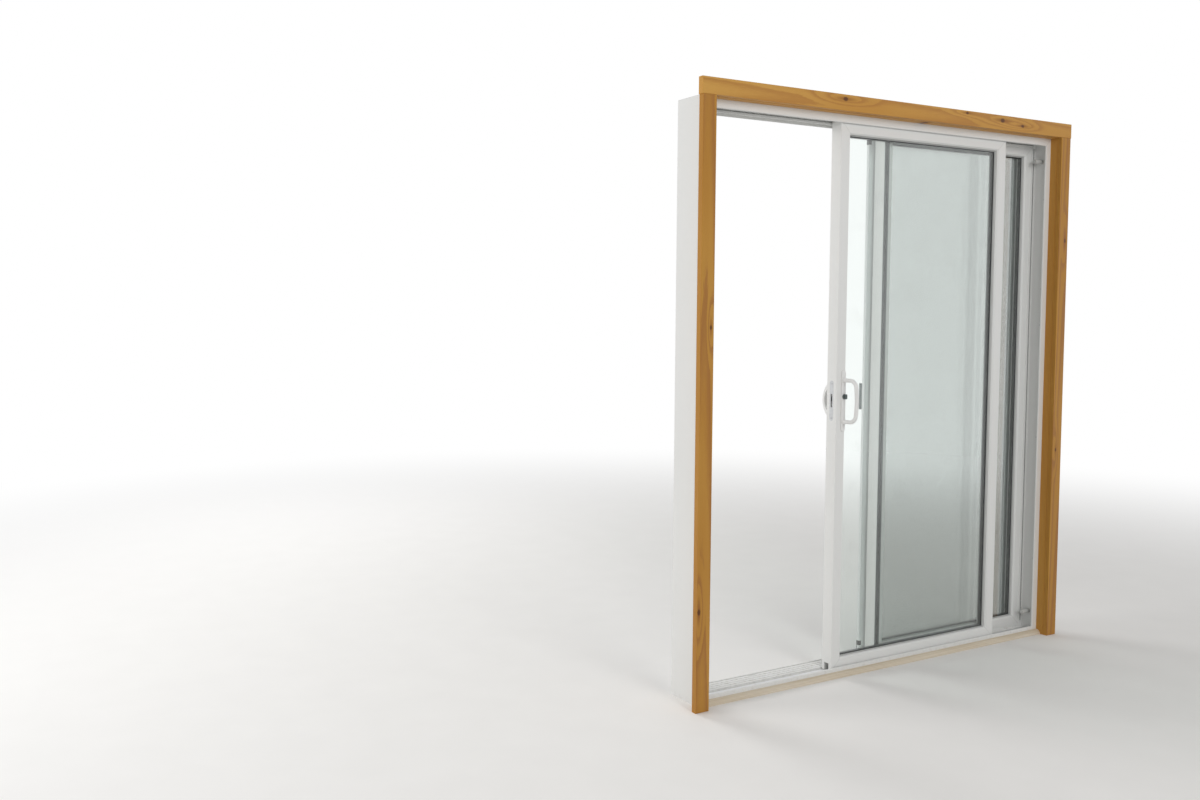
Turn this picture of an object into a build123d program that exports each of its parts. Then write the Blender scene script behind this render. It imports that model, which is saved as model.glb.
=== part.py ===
from build123d import *
import os

# Vinyl sliding patio door in its timber casing, with a fixed leaf and an insect screen.
# Millimetres. X runs across the opening, Y points outdoors, Z is up.
# The origin is on the underside of the sill, at the middle of its length and depth.

# Frame, its sizes measured from its back towards the opening
FRAME_W = 1810.0
FRAME_H = 2045.0
FRAME_FACE = 42.0
FRAME_BACK = 20.0
FLANGE_T = 5.0
FLANGE_EDGE = 1.0
LEG_T = 4.0
SCREEN_BACK = 30.0
SCREEN_FIN_H = 7.0
SCREEN_FIN_T = 3.0

# Depths, one after the other from the room face of the frame
TRACK_CLEAR = 5.0
SLIDER_T = 45.0
FIXED_T = 44.0
SCREEN_CLEAR = 6.0
SCREEN_T = 10.0
NOSE_D = 6.0

# Sill
SILL_LEG_H = 32.0
SILL_CHANNEL_H = 12.0
SILL_POCKET_H = 17.0
SILL_DIVIDER_H = 20.0
SILL_SCREEN_H = 10.0
SILL_NOSE_H = 6.0
SILL_FIN_H = 10.0
RAIL_T = 4.0
RAIL_H = 8.0
RAIL_CAP_T = 1.0
WEEP_L = 40.0
WEEP_PITCH = 560.0

# Leaves
LEAF_IN_HEAD = 10.0
SASH_FACE = 47.0
SASH_EDGE = 1.5
SLIDER_IN_JAMB = 9.0
SLIDER_OVER = 28.0
SLIDER_OPEN = 600.0
FIXED_IN_JAMB = 11.0
FIXED_FROM_MID = 6.0
REVEAL = 14.0
UNIT_T = 20.0
PANE_T = 4.0
GLASS_BITE = 12.0
GLASS_EDGE_CLEAR = 2.0
BEAD_W = 5.0
BEAD_SLOPE = 5.0
BACK_BEAD = 4.0
SPACER_W = 18.0
INTERLOCK_W = 22.0
INTERLOCK_T = 2.0
INTERLOCK_LIP = 6.0
INTERLOCK_WEB = 1.0

# Rollers
WHEEL_R = 11.0
WHEEL_W = 10.0
WHEEL_GROOVE = 1.5
WHEEL_SIDE_CLEAR = 0.5
WHEEL_CHEEK_CLEAR = 1.0
WHEEL_HEADROOM = 2.2
AXLE_R = 2.5
CARRIAGE_L = 70.0
CARRIAGE_WALL = 4.0
CARRIAGE_LIFT = 3.0
CARRIAGE_INSET = 90.0
RUN_CLEAR = 0.3

# Timber
LINER_T = 19.0
LINER_D = 26.0
LINER_REVEAL = 28.0
CASING_W = 56.0
CASING_T = 20.0
CASING_SETBACK = 1.0
CASING_RELIEF = 1.0
CASING_EDGE_R = 2.0
HEAD_HORN = 3.0
STRIP_R = 18.0

# Handle set
PULL_Z = 1010.0
PLATE_H = 222.0
PLATE_W = 20.0
PLATE_T = 5.0
PLATE_EDGE = 1.5
PULL_SPAN = 150.0
PULL_REACH = 60.0
PULL_BOW = 6.0
PULL_R = 7.0
PULL_FOOT_R = 9.5
PULL_FOOT_L = 14.0
PULL_CORNER_R = 28.0
PULL_BOW_R = 260.0
OUTER_PLATE_T = 4.0
OUTER_REACH = 40.0
OUTER_SPAN = 150.0
OUTER_FOOT = 20.0
OUTER_W = 16.0
OUTER_T = 10.0
OUTER_EDGE = 2.0
LOCK_H = 146.0
LOCK_W = 18.0
LOCK_T = 2.0
LOCK_DEPTH = 18.0
LOCK_SLOT_H = 48.0
LOCK_SLOT_W = 7.0
LATCH_UP = 16.0
LATCH_HUB_R = 8.0
LATCH_HUB_T = 4.0
LATCH_LEVER_L = 20.0
LATCH_LEVER_W = 7.0
LATCH_LEVER_T = 14.0
LATCH_TAPER = 6.0

# Screen
SCREEN_OVER = 14.0
SCREEN_SIDE_CLEAR = 5.0
SCREEN_END_CLEAR = 5.0
SCREEN_BAR = 32.0
SCREEN_SLOT_W = 5.0
SCREEN_SLOT_CLEAR = 3.0
MESH_T = 0.6
MESH_BITE = 5.0
SPLINE_W = 4.0
SPLINE_D = 3.0
SPLINE_IN = 7.0
CORNER_L = 50.0
CORNER_W = 12.0
CORNER_PROUD = 2.0
SCREEN_WHEEL_R = 7.0
SCREEN_WHEEL_W = 4.0
SCREEN_WHEEL_CLEAR = 1.0
SCREEN_AXLE_R = 1.5
SCREEN_WHEEL_INSET = 75.0
HANDLE_H = 100.0
HANDLE_W = 22.0
HANDLE_PLATE_T = 3.0
HANDLE_REACH = 14.0
HANDLE_LIP = 5.0

# Stops and covers
BUMPER_L = 25.0
BUMPER_R = 9.0
BUMPER_INSET = 70.0
BUMPER_EDGE = 2.0
KEEPER_H = 120.0
KEEPER_W = 20.0
KEEPER_T = 3.0
KEEPER_SLOT_H = 60.0
KEEPER_SLOT_W = 9.0
COVER_T = 3.0
COVER_RIB = 2.0
COVER_RIBS = 3

# Depths worked out from the sizes above
SLIDER_Y = FLANGE_T + TRACK_CLEAR
DIVIDER_Y = SLIDER_Y + SLIDER_T + TRACK_CLEAR
FIXED_Y = DIVIDER_Y + LEG_T
OUTER_LEG_Y = FIXED_Y + FIXED_T
SCREEN_Y = OUTER_LEG_Y + LEG_T + SCREEN_CLEAR
FRAME_D = SCREEN_Y + SCREEN_T + NOSE_D
FIN_Y = SCREEN_Y + (SCREEN_T - SCREEN_FIN_T) / 2
RAIL_Y = SLIDER_Y + (SLIDER_T - RAIL_T) / 2
ROOM_Y = -FRAME_D / 2
WALL_Y = ROOM_Y - LINER_D
SLIDER_FACE = ROOM_Y + SLIDER_Y
SLIDER_BACK = SLIDER_FACE + SLIDER_T
FIXED_FACE = ROOM_Y + FIXED_Y
SCREEN_FACE = ROOM_Y + SCREEN_Y
SCREEN_OUT = SCREEN_FACE + SCREEN_T
LOCK_Y = SLIDER_FACE + SLIDER_T / 2
RAIL_MID = ROOM_Y + RAIL_Y + RAIL_T / 2

# Widths
HALF_W = FRAME_W / 2
INNER_X = HALF_W - FRAME_FACE
FLOOR_X = HALF_W - FRAME_BACK
FIXED_LEFT = FIXED_FROM_MID
FIXED_RIGHT = INNER_X + FIXED_IN_JAMB
SLIDER_W = INNER_X + SLIDER_IN_JAMB + SLIDER_OVER
SLIDER_LEFT = SLIDER_OPEN - INNER_X - SLIDER_IN_JAMB
SLIDER_RIGHT = SLIDER_LEFT + SLIDER_W
SCREEN_LEFT = -SCREEN_OVER
SCREEN_RIGHT = INNER_X - SCREEN_SIDE_CLEAR
LINER_X = INNER_X + LINER_REVEAL
CASING_X = LINER_X + CASING_SETBACK
OUTER_CASING_X = CASING_X + CASING_W
HANDLE_X = SLIDER_LEFT + SASH_FACE - BEAD_W - PLATE_W / 2

# Heights
HEAD_Z = FRAME_H - FRAME_FACE
LEAF_BOTTOM = SILL_POCKET_H
LEAF_TOP = HEAD_Z + LEAF_IN_HEAD
LINER_Z = HEAD_Z + LINER_REVEAL
CASING_Z = LINER_Z + CASING_SETBACK
RAIL_TOP = SILL_CHANNEL_H + RAIL_H + RAIL_CAP_T
WHEEL_Z = RAIL_TOP - WHEEL_GROOVE + RUN_CLEAR + WHEEL_R
GROOVE_W = WHEEL_W + 2 * (WHEEL_CHEEK_CLEAR + CARRIAGE_WALL)
GROOVE_TOP = WHEEL_Z + WHEEL_R + WHEEL_HEADROOM
GROOVE_D = GROOVE_TOP - LEAF_BOTTOM
SCREEN_BOTTOM = SILL_SCREEN_H + SCREEN_END_CLEAR
SCREEN_TOP = FRAME_H - SCREEN_BACK - SCREEN_END_CLEAR
SCREEN_SLOT_D = max(SILL_FIN_H, SCREEN_FIN_H) - SCREEN_END_CLEAR + SCREEN_SLOT_CLEAR
SCREEN_WHEEL_Z = SILL_SCREEN_H + SILL_FIN_H + RUN_CLEAR + SCREEN_WHEEL_R

os.makedirs("parts", exist_ok=True)


def save(name, shape):
    shape.label = name
    export_step(shape, f"parts/{name}.step")


def block(x0, x1, y0, y1, z0, z1):
    size = Box(x1 - x0, y1 - y0, z1 - z0)
    return Pos((x0 + x1) / 2, (y0 + y1) / 2, (z0 + z1) / 2) * size


def upright(points, z0, z1):
    """A bar standing on z0, its section given as (x, y) points."""
    face = make_face(Polyline(*[(x, y, z0) for x, y in points], close=True))
    return extrude(face, amount=z1 - z0, dir=(0, 0, 1))


def level(points, x0, x1):
    """A bar lying along X, its section given as (y, z) points."""
    face = make_face(Polyline(*[(x0, y, z) for y, z in points], close=True))
    return extrude(face, amount=x1 - x0, dir=(1, 0, 0))


def facing_y(points, y0, y1):
    """A plate lying in the plane of the door, its outline given as (x, z) points."""
    face = make_face(Polyline(*[(x, y0, z) for x, z in points], close=True))
    return extrude(face, amount=y1 - y0, dir=(0, 1, 0))


def pin(x, y, z, radius, length):
    """A round bar along Y, centred on a point."""
    return Pos(x, y, z) * Cylinder(radius, length, rotation=(90, 0, 0))


# Frame: one extruded section for the head and both jambs, mitred at the top corners.
# The section is given as depth from the room face and height inwards from the back.
FRAME_SECTION = [
    (0, 0),
    (0, FRAME_FACE - FLANGE_EDGE),
    (FLANGE_EDGE, FRAME_FACE),
    (FLANGE_T, FRAME_FACE),
    (FLANGE_T, FRAME_BACK),
    (DIVIDER_Y, FRAME_BACK),
    (DIVIDER_Y, FRAME_FACE),
    (DIVIDER_Y + LEG_T, FRAME_FACE),
    (DIVIDER_Y + LEG_T, FRAME_BACK),
    (OUTER_LEG_Y, FRAME_BACK),
    (OUTER_LEG_Y, FRAME_FACE),
    (OUTER_LEG_Y + LEG_T, FRAME_FACE),
    (OUTER_LEG_Y + LEG_T, SCREEN_BACK),
    (FIN_Y, SCREEN_BACK),
    (FIN_Y, SCREEN_BACK + SCREEN_FIN_H),
    (FIN_Y + SCREEN_FIN_T, SCREEN_BACK + SCREEN_FIN_H),
    (FIN_Y + SCREEN_FIN_T, SCREEN_BACK),
    (FRAME_D, SCREEN_BACK),
    (FRAME_D, 0),
]


def frame_jamb(side):
    bar = upright([(side * (HALF_W - u), ROOM_Y + v) for v, u in FRAME_SECTION], 0, FRAME_H)
    mitre = [
        (side * HALF_W, 0),
        (side * INNER_X, 0),
        (side * INNER_X, HEAD_Z),
        (side * HALF_W, FRAME_H),
    ]
    return bar & facing_y(mitre, ROOM_Y, ROOM_Y + FRAME_D)


def frame_head():
    bar = level([(ROOM_Y + v, FRAME_H - u) for v, u in FRAME_SECTION], -HALF_W, HALF_W)
    mitre = [
        (-HALF_W, FRAME_H),
        (HALF_W, FRAME_H),
        (INNER_X, HEAD_Z),
        (-INNER_X, HEAD_Z),
    ]
    return bar & facing_y(mitre, ROOM_Y, ROOM_Y + FRAME_D)


# Sill: highest at the room leg and stepping down outdoors, coped over the jambs.
SILL_SECTION = [
    (0, 0),
    (0, SILL_LEG_H - FLANGE_EDGE),
    (FLANGE_EDGE, SILL_LEG_H),
    (FLANGE_T, SILL_LEG_H),
    (FLANGE_T, SILL_CHANNEL_H),
    (RAIL_Y, SILL_CHANNEL_H),
    (RAIL_Y, SILL_CHANNEL_H + RAIL_H),
    (RAIL_Y + RAIL_T, SILL_CHANNEL_H + RAIL_H),
    (RAIL_Y + RAIL_T, SILL_CHANNEL_H),
    (DIVIDER_Y, SILL_CHANNEL_H),
    (DIVIDER_Y, SILL_DIVIDER_H),
    (DIVIDER_Y + LEG_T, SILL_DIVIDER_H),
    (DIVIDER_Y + LEG_T, SILL_POCKET_H),
    (OUTER_LEG_Y, SILL_POCKET_H),
    (OUTER_LEG_Y, SILL_DIVIDER_H),
    (OUTER_LEG_Y + LEG_T, SILL_DIVIDER_H),
    (OUTER_LEG_Y + LEG_T, SILL_SCREEN_H),
    (FIN_Y, SILL_SCREEN_H),
    (FIN_Y, SILL_SCREEN_H + SILL_FIN_H),
    (FIN_Y + SCREEN_FIN_T, SILL_SCREEN_H + SILL_FIN_H),
    (FIN_Y + SCREEN_FIN_T, SILL_SCREEN_H),
    (FRAME_D, SILL_NOSE_H),
    (FRAME_D, 0),
]

jamb_left = frame_jamb(-1)
jamb_right = frame_jamb(1)
sill = level([(ROOM_Y + v, u) for v, u in SILL_SECTION], -FLOOR_X, FLOOR_X)
sill = sill - jamb_left - jamb_right

# Weep notches let water out of the pocket, over the screen's track.
for weep_x in (-WEEP_PITCH, 0, WEEP_PITCH):
    sill -= block(
        weep_x - WEEP_L / 2,
        weep_x + WEEP_L / 2,
        ROOM_Y + OUTER_LEG_Y,
        ROOM_Y + OUTER_LEG_Y + LEG_T,
        SILL_POCKET_H,
        SILL_DIVIDER_H,
    )
save("frame_head", frame_head())
save("frame_jamb_left", jamb_left)
save("frame_jamb_right", jamb_right)
save("frame_sill", sill)

# Roller rail: a thin metal cap sprung over the sill's rib.
cap = level(
    [
        (ROOM_Y + RAIL_Y - RAIL_CAP_T, SILL_CHANNEL_H),
        (ROOM_Y + RAIL_Y - RAIL_CAP_T, RAIL_TOP),
        (ROOM_Y + RAIL_Y + RAIL_T + RAIL_CAP_T, RAIL_TOP),
        (ROOM_Y + RAIL_Y + RAIL_T + RAIL_CAP_T, SILL_CHANNEL_H),
        (ROOM_Y + RAIL_Y + RAIL_T, SILL_CHANNEL_H),
        (ROOM_Y + RAIL_Y + RAIL_T, SILL_CHANNEL_H + RAIL_H),
        (ROOM_Y + RAIL_Y, SILL_CHANNEL_H + RAIL_H),
        (ROOM_Y + RAIL_Y, SILL_CHANNEL_H),
    ],
    -FLOOR_X,
    FLOOR_X,
)
save("roller_rail", cap)


# Covers: snapped into the empty half of the fixed leaf's pocket, with ribs along them.
def cover_points(base, rise):
    """Section of a cover over the pocket, as (depth, height) with its ribs."""
    top = base + rise * COVER_T
    rib = top + rise * COVER_RIB
    inner = ROOM_Y + FIXED_Y
    outer = ROOM_Y + OUTER_LEG_Y
    pitch = (outer - inner) / COVER_RIBS
    points = [(inner, base), (inner, top)]
    for k in range(COVER_RIBS):
        mid = inner + (k + 0.5) * pitch
        points += [
            (mid - COVER_RIB, top),
            (mid - COVER_RIB, rib),
            (mid + COVER_RIB, rib),
            (mid + COVER_RIB, top),
        ]
    return points + [(outer, top), (outer, base)]


save("sill_cover", level(cover_points(SILL_POCKET_H, 1), -FLOOR_X, FIXED_LEFT))
save("head_cover", level(cover_points(FRAME_H - FRAME_BACK, -1), -FLOOR_X, FIXED_LEFT))
jamb_cover = upright(
    [(x, y) for y, x in cover_points(-FLOOR_X, 1)],
    SILL_POCKET_H + COVER_T + COVER_RIB,
    FRAME_H - FRAME_BACK - COVER_T - COVER_RIB,
)
save("jamb_cover", jamb_cover)


# Leaf members: one section for stiles and rails, mitred and welded at the corners.
# The section is given as distance in from the edge of the leaf and depth from its face.
def sash_section(thick, groove=0.0):
    back = REVEAL + UNIT_T
    inner = SASH_FACE - GLASS_BITE
    points = [
        (0, SASH_EDGE),
        (SASH_EDGE, 0),
        (SASH_FACE - BEAD_W, 0),
        (SASH_FACE, BEAD_SLOPE),
        (SASH_FACE, REVEAL),
        (inner, REVEAL),
        (inner, back),
        (SASH_FACE, back),
        (SASH_FACE, thick - BACK_BEAD),
        (SASH_FACE - BACK_BEAD, thick),
        (SASH_EDGE, thick),
        (0, thick - SASH_EDGE),
    ]
    if groove:
        a = (thick - GROOVE_W) / 2
        points += [(0, a + GROOVE_W), (groove, a + GROOVE_W), (groove, a), (0, a)]
    return points


def leaf_mitre(left, right, side):
    k = SASH_FACE
    bottom = LEAF_BOTTOM
    top = LEAF_TOP
    corners = {
        "left": [(left, bottom), (left + k, bottom + k), (left + k, top - k), (left, top)],
        "right": [(right, bottom), (right - k, bottom + k), (right - k, top - k), (right, top)],
        "bottom": [(left, bottom), (right, bottom), (right - k, bottom + k), (left + k, bottom + k)],
        "top": [(left, top), (right, top), (right - k, top - k), (left + k, top - k)],
    }
    return corners[side]


def leaf_member(left, right, face, thick, side, groove=0.0):
    section = sash_section(thick, groove)
    if side == "left":
        bar = upright([(left + a, face + b) for a, b in section], LEAF_BOTTOM, LEAF_TOP)
    elif side == "right":
        bar = upright([(right - a, face + b) for a, b in section], LEAF_BOTTOM, LEAF_TOP)
    elif side == "bottom":
        bar = level([(face + b, LEAF_BOTTOM + a) for a, b in section], left, right)
    else:
        bar = level([(face + b, LEAF_TOP - a) for a, b in section], left, right)
    return bar & facing_y(leaf_mitre(left, right, side), face, face + thick)


def glass_unit(left, right, face):
    """Two panes and the spacer bar that holds them apart round their edge."""
    inset = SASH_FACE - GLASS_BITE + GLASS_EDGE_CLEAR
    x0 = left + inset
    x1 = right - inset
    z0 = LEAF_BOTTOM + inset
    z1 = LEAF_TOP - inset
    y0 = face + REVEAL
    y1 = y0 + UNIT_T
    near_pane = block(x0, x1, y0, y0 + PANE_T, z0, z1)
    far_pane = block(x0, x1, y1 - PANE_T, y1, z0, z1)
    w = SPACER_W
    ring = block(x0, x1, y0 + PANE_T, y1 - PANE_T, z0, z1)
    ring -= block(x0 + w, x1 - w, y0 + PANE_T, y1 - PANE_T, z0 + w, z1 - w)
    return Compound(children=[near_pane, far_pane]), ring


# Sliding leaf, with a groove along its foot for the rollers.
slider_stile = leaf_member(SLIDER_LEFT, SLIDER_RIGHT, SLIDER_FACE, SLIDER_T, "left")
slider_meeting = leaf_member(SLIDER_LEFT, SLIDER_RIGHT, SLIDER_FACE, SLIDER_T, "right")
slider_top = leaf_member(SLIDER_LEFT, SLIDER_RIGHT, SLIDER_FACE, SLIDER_T, "top")
slider_foot = leaf_member(SLIDER_LEFT, SLIDER_RIGHT, SLIDER_FACE, SLIDER_T, "bottom", GROOVE_D)

# The ends of the roller groove run out through the foot of each stile.
groove_run = block(
    SLIDER_LEFT,
    SLIDER_RIGHT,
    RAIL_MID - GROOVE_W / 2,
    RAIL_MID + GROOVE_W / 2,
    LEAF_BOTTOM,
    GROOVE_TOP,
)
slider_stile -= groove_run
slider_meeting -= groove_run


def edge_plate(x, thick, height, width):
    """A plate with round ends lying on an upright edge, from x towards +X."""
    plane = Plane(origin=(x, LOCK_Y, PULL_Z), x_dir=(0, 0, 1), z_dir=(1, 0, 0))
    return extrude(plane * SlotOverall(height, width), amount=thick)


# Mortise in the edge of the lock stile, for the lock's faceplate and its slot.
faceplate = edge_plate(SLIDER_LEFT, LOCK_T, LOCK_H, LOCK_W)
lock_slot = block(
    SLIDER_LEFT,
    SLIDER_LEFT + LOCK_DEPTH,
    LOCK_Y - LOCK_SLOT_W / 2,
    LOCK_Y + LOCK_SLOT_W / 2,
    PULL_Z - LOCK_SLOT_H / 2,
    PULL_Z + LOCK_SLOT_H / 2,
)
save("slider_lock_stile", slider_stile - faceplate - lock_slot)
save("slider_meeting_stile", slider_meeting)
save("slider_top_rail", slider_top)
save("slider_bottom_rail", slider_foot)
save("lock_faceplate", faceplate - lock_slot)
panes, ring = glass_unit(SLIDER_LEFT, SLIDER_RIGHT, SLIDER_FACE)
save("slider_glass", panes)
save("slider_spacer", ring)

# Fixed leaf
fixed_sides = {
    "fixed_meeting_stile": "left",
    "fixed_jamb_stile": "right",
    "fixed_top_rail": "top",
    "fixed_bottom_rail": "bottom",
}
for name, side in fixed_sides.items():
    save(name, leaf_member(FIXED_LEFT, FIXED_RIGHT, FIXED_FACE, FIXED_T, side))
panes, ring = glass_unit(FIXED_LEFT, FIXED_RIGHT, FIXED_FACE)
save("fixed_glass", panes)
save("fixed_spacer", ring)


# Interlock strips on the two meeting stiles, facing each other when the door is shut.
# Each is a shallow channel with a lip along both edges, which holds the pile.
def interlock(x0, base, rise):
    face = base + rise * INTERLOCK_T
    web = base + rise * INTERLOCK_WEB
    section = [
        (x0, base),
        (x0, face),
        (x0 + INTERLOCK_LIP, face),
        (x0 + INTERLOCK_LIP, web),
        (x0 + INTERLOCK_W - INTERLOCK_LIP, web),
        (x0 + INTERLOCK_W - INTERLOCK_LIP, face),
        (x0 + INTERLOCK_W, face),
        (x0 + INTERLOCK_W, base),
    ]
    return upright(section, LEAF_BOTTOM + SASH_FACE / 2, LEAF_TOP - SASH_FACE / 2)


save("slider_interlock", interlock(SLIDER_RIGHT - SASH_EDGE - INTERLOCK_W, SLIDER_BACK, 1))
save("fixed_interlock", interlock(FIXED_LEFT + SASH_EDGE, FIXED_FACE, -1))


# Rollers: a grooved wheel on a stub axle in a carriage, two to the leaf.
def carriage(x):
    foot = RAIL_TOP + CARRIAGE_LIFT
    half = CARRIAGE_L / 2
    gap = GROOVE_W / 2 - CARRIAGE_WALL
    body = block(x - half, x + half, RAIL_MID - GROOVE_W / 2, RAIL_MID + GROOVE_W / 2, foot, GROOVE_TOP)
    body -= block(
        x - half + CARRIAGE_WALL,
        x + half - CARRIAGE_WALL,
        RAIL_MID - gap,
        RAIL_MID + gap,
        foot,
        GROOVE_TOP,
    )
    return body - pin(x, RAIL_MID, WHEEL_Z, AXLE_R + RUN_CLEAR, GROOVE_W)


def wheel(x):
    tread = RAIL_T / 2 + RAIL_CAP_T + WHEEL_SIDE_CLEAR
    tyre = Polyline(
        (0, -WHEEL_W / 2),
        (WHEEL_R, -WHEEL_W / 2),
        (WHEEL_R - WHEEL_GROOVE, -tread),
        (WHEEL_R - WHEEL_GROOVE, tread),
        (WHEEL_R, WHEEL_W / 2),
        (0, WHEEL_W / 2),
        close=True,
    )
    disc = Pos(x, RAIL_MID, WHEEL_Z) * revolve(make_face(tyre), Axis.Y)
    return disc + pin(x, RAIL_MID, WHEEL_Z, AXLE_R, GROOVE_W)


roller_x = (SLIDER_LEFT + CARRIAGE_INSET, SLIDER_RIGHT - CARRIAGE_INSET)
save("roller_carriages", Compound(children=[carriage(x) for x in roller_x]))
save("roller_wheels", Compound(children=[wheel(x) for x in roller_x]))


# Handle set: a slim plate each side, a bowed D pull indoors, a low bow outdoors, a thumb latch.
def handle_plate(y0, y1, outer):
    """A plate with round ends, its edge eased on the outer face."""
    face = Plane(origin=(HANDLE_X, y0, PULL_Z), x_dir=(0, 0, 1), z_dir=(0, 1, 0))
    plate = extrude(face * SlotOverall(PLATE_H, PLATE_W), amount=y1 - y0)
    front = plate.faces().sort_by(Axis.Y)[outer]
    return chamfer(front.edges(), PLATE_EDGE)


save("pull_plate", handle_plate(SLIDER_FACE - PLATE_T, SLIDER_FACE, 0))

foot_y = SLIDER_FACE - PLATE_T
pull_path = FilletPolyline(
    (HANDLE_X, foot_y, PULL_Z - PULL_SPAN / 2),
    (HANDLE_X, foot_y - PULL_REACH + PULL_BOW, PULL_Z - PULL_SPAN / 2),
    (HANDLE_X, foot_y - PULL_REACH, PULL_Z),
    (HANDLE_X, foot_y - PULL_REACH + PULL_BOW, PULL_Z + PULL_SPAN / 2),
    (HANDLE_X, foot_y, PULL_Z + PULL_SPAN / 2),
    radius=[PULL_CORNER_R, PULL_BOW_R, PULL_CORNER_R],
)
pull_plane = Plane(
    origin=(HANDLE_X, foot_y, PULL_Z - PULL_SPAN / 2),
    x_dir=(1, 0, 0),
    z_dir=(0, -1, 0),
)
pull = sweep(pull_plane * Circle(PULL_R), path=pull_path)

# Each end of the pull flares to a round foot on the plate.
for side in (-1, 1):
    foot = Cone(PULL_FOOT_R, PULL_R, PULL_FOOT_L, rotation=(90, 0, 0))
    pull += Pos(HANDLE_X, foot_y - PULL_FOOT_L / 2, PULL_Z + side * PULL_SPAN / 2) * foot
save("pull_inner", pull)

outer_foot = SLIDER_BACK + OUTER_PLATE_T
outer_arc = ThreePointArc(
    (outer_foot, PULL_Z - OUTER_SPAN / 2),
    (outer_foot + OUTER_REACH, PULL_Z),
    (outer_foot, PULL_Z + OUTER_SPAN / 2),
)
inner_arc = ThreePointArc(
    (outer_foot, PULL_Z + OUTER_SPAN / 2 - OUTER_FOOT),
    (outer_foot + OUTER_REACH - OUTER_T, PULL_Z),
    (outer_foot, PULL_Z - OUTER_SPAN / 2 + OUTER_FOOT),
)
outer_outline = make_face(
    Curve()
    + [
        outer_arc,
        Line(outer_arc @ 1, inner_arc @ 0),
        inner_arc,
        Line(inner_arc @ 1, outer_arc @ 0),
    ]
)
outer_plane = Plane(origin=(HANDLE_X - OUTER_W / 2, 0, 0), x_dir=(0, 1, 0), z_dir=(1, 0, 0))
bow = extrude(outer_plane * outer_outline, amount=OUTER_W)
crown = bow.faces().filter_by(GeomType.CYLINDER).sort_by(SortBy.AREA)[-1]
bow = chamfer(crown.edges().filter_by(GeomType.CIRCLE), OUTER_EDGE)
save("pull_outer", bow + handle_plate(SLIDER_BACK, outer_foot, -1))

latch_y = foot_y - RUN_CLEAR
latch_z = PULL_Z + LATCH_UP
hub = pin(HANDLE_X, latch_y - LATCH_HUB_T / 2, latch_z, LATCH_HUB_R, LATCH_HUB_T)
lever_plane = Plane(origin=(HANDLE_X, latch_y, latch_z), x_dir=(0, 0, 1), z_dir=(0, -1, 0))
lever_foot = lever_plane * SlotOverall(LATCH_LEVER_L, LATCH_LEVER_W)
lever = extrude(lever_foot, amount=LATCH_LEVER_T, taper=LATCH_TAPER)
save("thumb_latch", hub + lever)

# Stops: the keeper on the lock jamb and two rubber bumpers in the far jamb.
keeper = edge_plate(-FLOOR_X, KEEPER_T, KEEPER_H, KEEPER_W)
keeper -= block(
    -FLOOR_X,
    -FLOOR_X + KEEPER_T,
    LOCK_Y - KEEPER_SLOT_W / 2,
    LOCK_Y + KEEPER_SLOT_W / 2,
    PULL_Z - KEEPER_SLOT_H / 2,
    PULL_Z + KEEPER_SLOT_H / 2,
)
save("lock_keeper", keeper)
bumper_len = FLOOR_X - INNER_X + BUMPER_L
bumper = Pos(FLOOR_X - bumper_len / 2, LOCK_Y, 0) * Cylinder(BUMPER_R, bumper_len, rotation=(0, 90, 0))
bumper = chamfer(bumper.faces().sort_by(Axis.X)[0].edges(), BUMPER_EDGE)
bumper_z = (LEAF_BOTTOM + BUMPER_INSET, LEAF_TOP - BUMPER_INSET)
save("stop_bumpers", Compound(children=[Pos(0, 0, z) * bumper for z in bumper_z]))


# Insect screen: slotted bars that ride on the outer fins, with a spline groove on the
# outdoor face and plastic corner keys that show at the edges and lap the outdoor face.
def screen_section():
    """Section of a bar, as distance in from its outer edge and depth from its face."""
    a = (SCREEN_T - SCREEN_SLOT_W) / 2
    spline = SCREEN_BAR - SPLINE_IN
    return [
        (0, 0),
        (SCREEN_BAR, 0),
        (SCREEN_BAR, SCREEN_T),
        (spline + SPLINE_W / 2, SCREEN_T),
        (spline + SPLINE_W / 2, SCREEN_T - SPLINE_D),
        (spline - SPLINE_W / 2, SCREEN_T - SPLINE_D),
        (spline - SPLINE_W / 2, SCREEN_T),
        (0, SCREEN_T),
        (0, a + SCREEN_SLOT_W),
        (SCREEN_SLOT_D, a + SCREEN_SLOT_W),
        (SCREEN_SLOT_D, a),
        (0, a),
    ]


def screen_upright(edge, way):
    """One stile of the screen, its outer edge at edge and its width running along way."""
    spline = edge + way * (SCREEN_BAR - SPLINE_IN)
    section = [
        (edge, SCREEN_FACE),
        (edge + way * SCREEN_BAR, SCREEN_FACE),
        (edge + way * SCREEN_BAR, SCREEN_OUT),
        (spline + way * SPLINE_W / 2, SCREEN_OUT),
        (spline + way * SPLINE_W / 2, SCREEN_OUT - SPLINE_D),
        (spline - way * SPLINE_W / 2, SCREEN_OUT - SPLINE_D),
        (spline - way * SPLINE_W / 2, SCREEN_OUT),
        (edge, SCREEN_OUT),
    ]
    return upright(section, SCREEN_BOTTOM + SCREEN_BAR, SCREEN_TOP - SCREEN_BAR)


mesh_y = SCREEN_FACE + SCREEN_T / 2
mesh = block(
    SCREEN_LEFT + SCREEN_BAR - MESH_BITE,
    SCREEN_RIGHT - SCREEN_BAR + MESH_BITE,
    mesh_y - MESH_T / 2,
    mesh_y + MESH_T / 2,
    SCREEN_BOTTOM + SCREEN_BAR - MESH_BITE,
    SCREEN_TOP - SCREEN_BAR + MESH_BITE,
)
bar_bottom = level(
    [(SCREEN_FACE + b, SCREEN_BOTTOM + a) for a, b in screen_section()],
    SCREEN_LEFT,
    SCREEN_RIGHT,
)
bar_top = level(
    [(SCREEN_FACE + b, SCREEN_TOP - a) for a, b in screen_section()],
    SCREEN_LEFT,
    SCREEN_RIGHT,
)

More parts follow.
